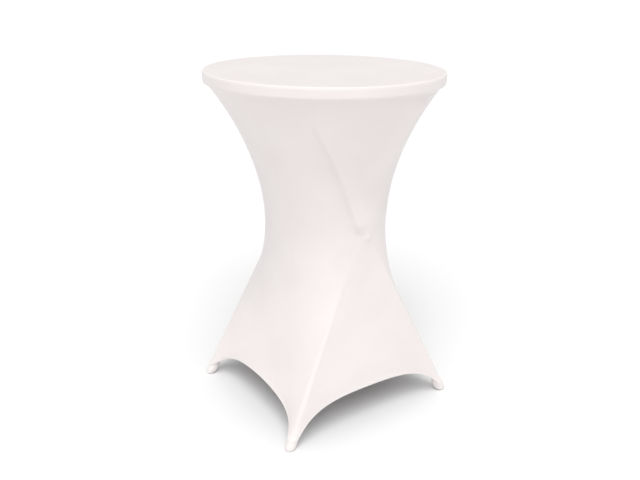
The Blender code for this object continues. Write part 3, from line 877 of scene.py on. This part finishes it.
def section_at(column):
    """The hem's section as points across the cloth's edge at a column."""
    column = column % COLUMNS
    points = []
    for distance, out in HEM_SECTION:
        normal = hem_normal(column, max(distance, 0.0) / HEM_WIDTH)
        points.append(up_from_hem(net, column, distance) + out * normal)
    return points


hems = {}
quarter = COLUMNS // 4
for side, name in ARCH_NAMES.items():
    first = side * quarter
    hem_net = np.array([section_at(column) for column in range(first, first + quarter + 1)])
    hems[name] = swept("cover_hem_" + name, hem_net, False, hem_cloth)
    print("hem", name, len(hems[name].data.polygons), "faces")

# %% [markdown]
# ### Twin-needle stitches
#
# Each stitch is a short drop of thread that dives into the cloth at both ends. One is modelled
# and then copied along two lines, 2.4 mm apart, into one mesh for each hem. A stitch has few
# faces, because there are well over a thousand.

# %% One stitch
STITCH_PITCH = 0.0036
STITCH_LENGTH = 0.0031
STITCH_RADIUS = 0.00035
STITCH_SIDES = 5
# The rings of a stitch: each one's place along it and its share of the radius.
STITCH_RINGS = ((0.0, 0.3), (0.25, 1.0), (0.75, 1.0), (1.0, 0.3))


def stitch_points():
    """A stitch along +X, bulging towards +Z, as rings from end to end."""
    rings = []
    for share, size in STITCH_RINGS:
        lift = STITCH_RADIUS * (0.9 - 3.2 * (share - 0.5) ** 2)
        for side in range(STITCH_SIDES):
            turn = 2 * pi * side / STITCH_SIDES
            rings.append(((share - 0.5) * STITCH_LENGTH, STITCH_RADIUS * size * cos(turn),
                          lift + STITCH_RADIUS * size * sin(turn)))
    return np.array(rings)


def sew(name, path, facing):
    """Copies the stitch along a path of points with their outward normals."""
    path, facing = np.asarray(path), np.asarray(facing)
    step = np.linalg.norm(np.diff(path, axis=0), axis=1)
    along = np.concatenate([[0.0], np.cumsum(step)])
    one, faces = stitch_points(), ring_faces(len(STITCH_RINGS), STITCH_SIDES, False)
    points, all_faces = [], []
    for count in range(int(along[-1] / STITCH_PITCH)):
        middle = (count + 0.5) * STITCH_PITCH
        here, ahead, out = [
            np.array([np.interp(place, along, values[:, axis]) for axis in range(3)])
            for place, values in ((middle, path), (middle + 0.001, path), (middle, facing))]
        forward = (ahead - here) / np.linalg.norm(ahead - here)
        out = out - (out @ forward) * forward
        out /= np.linalg.norm(out)
        turn = np.array([forward, np.cross(out, forward), out])
        start = len(one) * count
        points.append(here + one @ turn)
        all_faces += [[start + corner for corner in face] for face in faces]
    return mesh_piece(name, np.concatenate(points), all_faces, thread)


print("stitch:", len(stitch_points()), "points")

# %% Sew the hems
NEEDLE_LINES = {"low": 0.0090, "high": 0.0114}      # up from the fold
stitch_rows = []
for side, name in ARCH_NAMES.items():
    for line, height in NEEDLE_LINES.items():
        span = range(side * quarter, (side + 1) * quarter + 1)
        facing = [hem_normal(column % COLUMNS, height / HEM_WIDTH) for column in span]
        path = [up_from_hem(net, column % COLUMNS, height) + HEM_FACE * out
                for column, out in zip(span, facing)]
        stitch_rows.append(sew(f"hem_stitches_{name}_{line}", path, facing))
print("stitch rows:", len(stitch_rows), sum(len(o.data.polygons) for o in stitch_rows), "faces")


# %% [markdown]
# ## Foot pockets
#
# Each foot stands in a pocket of doubled cloth that holds the skirt down. It is a small cup
# round the foot cap that leans with the leg, with a rounded sole and a close collar that runs
# up the tube. The skirt's corner is sewn round its outer side. On its inner side the collar
# shows below the hem. Both the pocket and the cap are turned from a section of (radius, height)
# that goes up the outside and down the inside, and each level is an ellipse, because it cuts a
# leaning tube.

# %% Pockets
POCKET_OUTSIDE = 0.0184
POCKET_INSIDE = 0.0168
POCKET_SECTION = [(0.0, 0.0002), (0.0060, 0.0), (0.0100, 0.0005), (0.0135, 0.0020),
                  (0.0160, 0.0045), (0.0176, 0.0080), (0.0183, 0.0130), (POCKET_OUTSIDE, 0.0270),
                  (0.0183, 0.0310), (0.0174, 0.0370), (0.0161, 0.0425), (0.0151, 0.0480),
                  (0.0149, 0.0600), (0.0149, 0.0760), (0.0147, 0.0770), (0.0144, 0.0760),
                  (0.0144, 0.0480), (0.0150, 0.0400), (POCKET_INSIDE, 0.0320),
                  (POCKET_INSIDE, 0.0140), (0.0160, 0.0085), (0.0142, 0.0052),
                  (0.0110, 0.0025), (0.0, 0.0020)]
CAP_SECTION = [(0.0, 0.0022), (0.0106, 0.0027), (0.0138, 0.0054), (0.0156, 0.0087),
               (0.0163, 0.0140), (0.0163, 0.0290), (0.0157, 0.0305), (0.0143, 0.0305),
               (0.0143, 0.0100), (0.0, 0.0090)]
CUP_SIDES = 48
PLEATS = 9                  # soft pleats round a pocket
PLEAT_TWIST = 60.0          # they slant by this many radians for a metre of height
PLEAT_DEPTH = 0.008         # as a share of the radius


def leaning_cup(name, foot, section, depth, material):
    """A cup round a foot that leans with the leg, from a section of (radius, height)."""
    turn = 2 * pi * np.arange(CUP_SIDES) / CUP_SIDES
    out = np.stack([np.cos(turn), np.sin(turn), np.zeros_like(turn)], axis=1)
    rings = []
    for radius, height in section:
        pleat = depth * radius * np.sin(PLEATS * turn + PLEAT_TWIST * height)
        rings.append(round_leg(foot, height, radius, turn) + pleat[:, None] * out)
    rings = np.array(rings)
    faces = ring_faces(len(rings), CUP_SIDES, False)[:-2]
    return mesh_piece(name, rings.reshape(-1, 3), faces, material)


for frame_name, side in FEET:
    foot = (frame_name, side)
    place = "front" if side < 0 else "rear"
    pocket = leaning_cup(f"foot_pocket_{frame_name}_{place}", foot, POCKET_SECTION,
                         PLEAT_DEPTH, hem_cloth)
    cap = leaning_cup(f"foot_cap_{frame_name}_{place}", foot, CAP_SECTION, 0.0,
                      FINISHES["grey_rubber"])
    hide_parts(f"{frame_name}_foot_pocket_{place}")
    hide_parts(f"{frame_name}_foot_cap_{place}")
    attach(pocket, f"{frame_name}_frame")
    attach(cap, f"{frame_name}_frame")


# %% [markdown]
# ## Joining the pieces to the moving table
#
# Each cover piece now stands for its rough CAD piece. The top and its rim ride on the tabletop.
# The skirt's two parts, its hems and its stitches have their places baked into their points.
# For the lower skirt, the normal of a plane through the waist and the outer frame's feet is
# worked out.

# %% Ride and replace
for piece, node in ((top_panel, "cover_top_panel"), (rim_band, "cover_rim_band"),
                    (top_seam, "cover_top_seam")):
    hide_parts(node)
    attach(piece, "tabletop")

FOOT_MARGIN = 0.02          # from a leg's axis to outside its pocket
split = net[SPLIT_ROW]
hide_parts("cover_skirt")
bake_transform(skirt_upper)

waist_corner = split[np.argmin(split[:, 0])]
outer_foot = leg_axis("outer", -1, 0.0) + (FOOT_MARGIN, 0.0, 0.0)
rise = waist_corner - outer_foot
fold_normal = np.array([-rise[2], 0.0, rise[0]])
fold_normal /= np.linalg.norm(fold_normal)

fold_pieces = [skirt_lower] + list(hems.values()) + stitch_rows
for piece in fold_pieces:
    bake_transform(piece)
for name, hem in hems.items():
    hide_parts("hem_" + name)
print("bending pieces:", len(fold_pieces) + 1)
